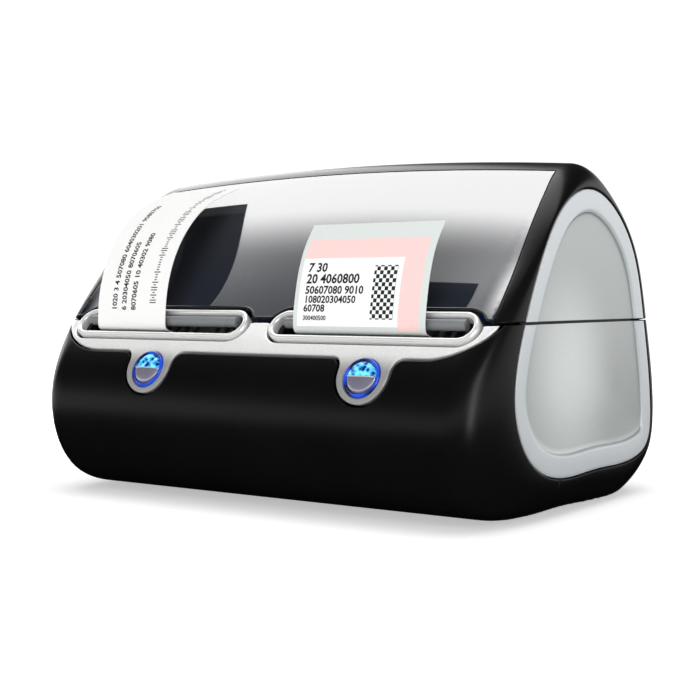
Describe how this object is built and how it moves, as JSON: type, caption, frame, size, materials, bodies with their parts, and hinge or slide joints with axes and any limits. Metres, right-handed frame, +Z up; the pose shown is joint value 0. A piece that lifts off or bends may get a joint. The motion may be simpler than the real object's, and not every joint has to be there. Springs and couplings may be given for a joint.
{
  "type": "label maker",
  "caption": "Desktop label maker with twin print lanes, hinged smoked lid over the label rolls, silver front bezel and end panels, and lit push buttons.",
  "frame": {"origin": "on the table, at the middle of the case's width, under the middle of its depth", "axes": "+Z up, -Y towards the front with the label slots, +X to the right seen from the front"},
  "size_m": [0.21, 0.1546, 0.1343],
  "materials": {
    "black_base": "fine textured black",
    "black_case": "satin black moulded ABS",
    "black_inner": "matt black",
    "blue_light": "blue translucent, lit",
    "bush_bronze": "sintered bronze",
    "button_blue": "clear blue lens",
    "button_silver": "satin silver",
    "feet_rubber": "matt black rubber",
    "frame_steel": "galvanised sheet",
    "gear_white": "natural acetal",
    "green_board": "green solder mask",
    "guide_grey": "grey satin",
    "guide_plastic": "dark grey plastic",
    "head_ceramic": "glazed ceramic",
    "label_paper": "coated thermal paper",
    "label_paper_roll": "wound paper",
    "lever_blue": "blue plastic",
    "motor_can": "plated steel can",
    "pin_steel": "steel",
    "pinion_brass": "brass",
    "platen_rubber": "ground black rubber",
    "screw_steel": "zinc plated",
    "silver_bezel": "satin silver paint",
    "silver_panel": "fine silver paint",
    "silver_ring": "bright satin silver",
    "sink_aluminium": "as extruded",
    "smoked_window": "smoked clear plastic",
    "socket_steel": "stamped steel shell",
    "spool_plastic": "black plastic",
    "spring_steel": "bright spring wire",
    "tear_steel": "blackened steel"
  },
  "bodies": {
    "case": {"front_cover": "black_case", "rear_cover": "black_case", "base_plate": "black_base", "rubber_feet": "feet_rubber", "case_screws": "screw_steel", "case_panel_left": "silver_panel", "case_panel_right": "silver_panel", "front_bezel": "silver_bezel", "exit_tray": "black_inner", "light_rings": "blue_light", "platen_bushes": "bush_bronze", "main_board": "green_board", "usb_socket": "socket_steel", "power_socket": "black_inner", "hinge_pins": "pin_steel", "slot_ring_left": "silver_ring", "slot_ring_right": "silver_ring", "tear_bar_left": "tear_steel", "tear_bar_right": "tear_steel", "guide_bar_left": "guide_grey", "guide_bar_right": "guide_grey", "engine_frame_left": "frame_steel", "engine_frame_right": "frame_steel", "stepper_motor_left": "motor_can", "stepper_motor_right": "motor_can", "head_springs_left": "spring_steel", "head_springs_right": "spring_steel", "label_strip_left": "label_paper", "label_strip_right": "label_paper"},
    "lid": {"lid_frame": "black_case", "lid_window": "smoked_window", "lid_panel_left": "silver_panel", "lid_panel_right": "silver_panel", "spool_cradle": "black_inner"},
    "spool_left": {"spool_left": "spool_plastic", "spool_guide_left": "spool_plastic", "label_roll_left": "label_paper_roll"},
    "platen_left": {"platen_roller_left": "platen_rubber", "platen_gear_left": "gear_white"},
    "idler_left": {"idler_gear_left": "gear_white"},
    "pinion_left": {"motor_pinion_left": "pinion_brass"},
    "head_left": {"print_head_left": "head_ceramic", "heat_sink_left": "sink_aluminium"},
    "lever_left": {"release_lever_left": "lever_blue"},
    "guide_left": {"label_guide_left": "guide_plastic"},
    "button_left": {"button_cap_left": "button_silver", "button_lens_left": "button_blue"},
    "spool_right": {"spool_right": "spool_plastic", "spool_guide_right": "spool_plastic", "label_roll_right": "label_paper_roll"},
    "platen_right": {"platen_roller_right": "platen_rubber", "platen_gear_right": "gear_white"},
    "idler_right": {"idler_gear_right": "gear_white"},
    "pinion_right": {"motor_pinion_right": "pinion_brass"},
    "head_right": {"print_head_right": "head_ceramic", "heat_sink_right": "sink_aluminium"},
    "lever_right": {"release_lever_right": "lever_blue"},
    "guide_right": {"label_guide_right": "guide_plastic"},
    "button_right": {"button_cap_right": "button_silver", "button_lens_right": "button_blue"}
  },
  "joints": [
    {"name": "lid_hinge", "type": "hinge", "parent": "case", "child": "lid", "pos_m": [0, 0.0686, 0.0708], "axis": [-1, 0, 0], "range_deg": [0, 78], "deforming": ["label_strip_left", "label_strip_right"]},
    {"name": "spool_left_spin", "type": "hinge", "parent": "lid", "child": "spool_left", "pos_m": [-0.0503, 0.008, 0.088], "axis": [1, 0, 0], "continuous": true},
    {"name": "platen_left_spin", "type": "hinge", "parent": "case", "child": "platen_left", "pos_m": [-0.0503, -0.05454, 0.05815], "axis": [1, 0, 0], "continuous": true},
    {"name": "idler_left_spin", "type": "hinge", "parent": "case", "child": "idler_left", "pos_m": [-0.0503, -0.05097, 0.04482], "axis": [1, 0, 0], "continuous": true},
    {"name": "pinion_left_spin", "type": "hinge", "parent": "case", "child": "pinion_left", "pos_m": [-0.0503, -0.04467, 0.03391], "axis": [1, 0, 0], "continuous": true},
    {"name": "head_left_lift", "type": "hinge", "parent": "case", "child": "head_left", "pos_m": [-0.0503, -0.03622, 0.05458], "axis": [-1, 0, 0], "range_deg": [0, 3], "deforming": ["head_springs_left"]},
    {"name": "lever_left_turn", "type": "hinge", "parent": "case", "child": "lever_left", "pos_m": [-0.0503, -0.044, 0.062], "axis": [-1, 0, 0], "range_deg": [0, 25]},
    {"name": "guide_left_slide", "type": "slide", "parent": "case", "child": "guide_left", "axis": [1, 0, 0], "range_m": [0, 0.02]},
    {"name": "button_left_press", "type": "slide", "parent": "case", "child": "button_left", "axis": [0, 0.9135, -0.4067], "range_m": [0, 0.001], "stiffness_N_per_m": 300},
    {"name": "spool_right_spin", "type": "hinge", "parent": "lid", "child": "spool_right", "pos_m": [0.0503, 0.008, 0.088], "axis": [1, 0, 0], "continuous": true},
    {"name": "platen_right_spin", "type": "hinge", "parent": "case", "child": "platen_right", "pos_m": [0.0503, -0.05454, 0.05815], "axis": [1, 0, 0], "continuous": true},
    {"name": "idler_right_spin", "type": "hinge", "parent": "case", "child": "idler_right", "pos_m": [0.0503, -0.05097, 0.04482], "axis": [1, 0, 0], "continuous": true},
    {"name": "pinion_right_spin", "type": "hinge", "parent": "case", "child": "pinion_right", "pos_m": [0.0503, -0.04467, 0.03391], "axis": [1, 0, 0], "continuous": true},
    {"name": "head_right_lift", "type": "hinge", "parent": "case", "child": "head_right", "pos_m": [0.0503, -0.03622, 0.05458], "axis": [-1, 0, 0], "range_deg": [0, 3], "deforming": ["head_springs_right"]},
    {"name": "lever_right_turn", "type": "hinge", "parent": "case", "child": "lever_right", "pos_m": [0.0503, -0.044, 0.062], "axis": [-1, 0, 0], "range_deg": [0, 25]},
    {"name": "guide_right_slide", "type": "slide", "parent": "case", "child": "guide_right", "axis": [1, 0, 0], "range_m": [-0.02, 0]},
    {"name": "button_right_press", "type": "slide", "parent": "case", "child": "button_right", "axis": [0, 0.9135, -0.4067], "range_m": [0, 0.001], "stiffness_N_per_m": 300}
  ],
  "couplings": [
    {"joint": "idler_left_spin", "follows": "platen_left_spin", "ratio": -0.53333},
    {"joint": "pinion_left_spin", "follows": "platen_left_spin", "ratio": 1.3333},
    {"joint": "head_left_lift", "follows": "lever_left_turn", "ratio": 0.12},
    {"joint": "idler_right_spin", "follows": "platen_right_spin", "ratio": -0.53333},
    {"joint": "pinion_right_spin", "follows": "platen_right_spin", "ratio": 1.3333},
    {"joint": "head_right_lift", "follows": "lever_right_turn", "ratio": 0.12}
  ]
}
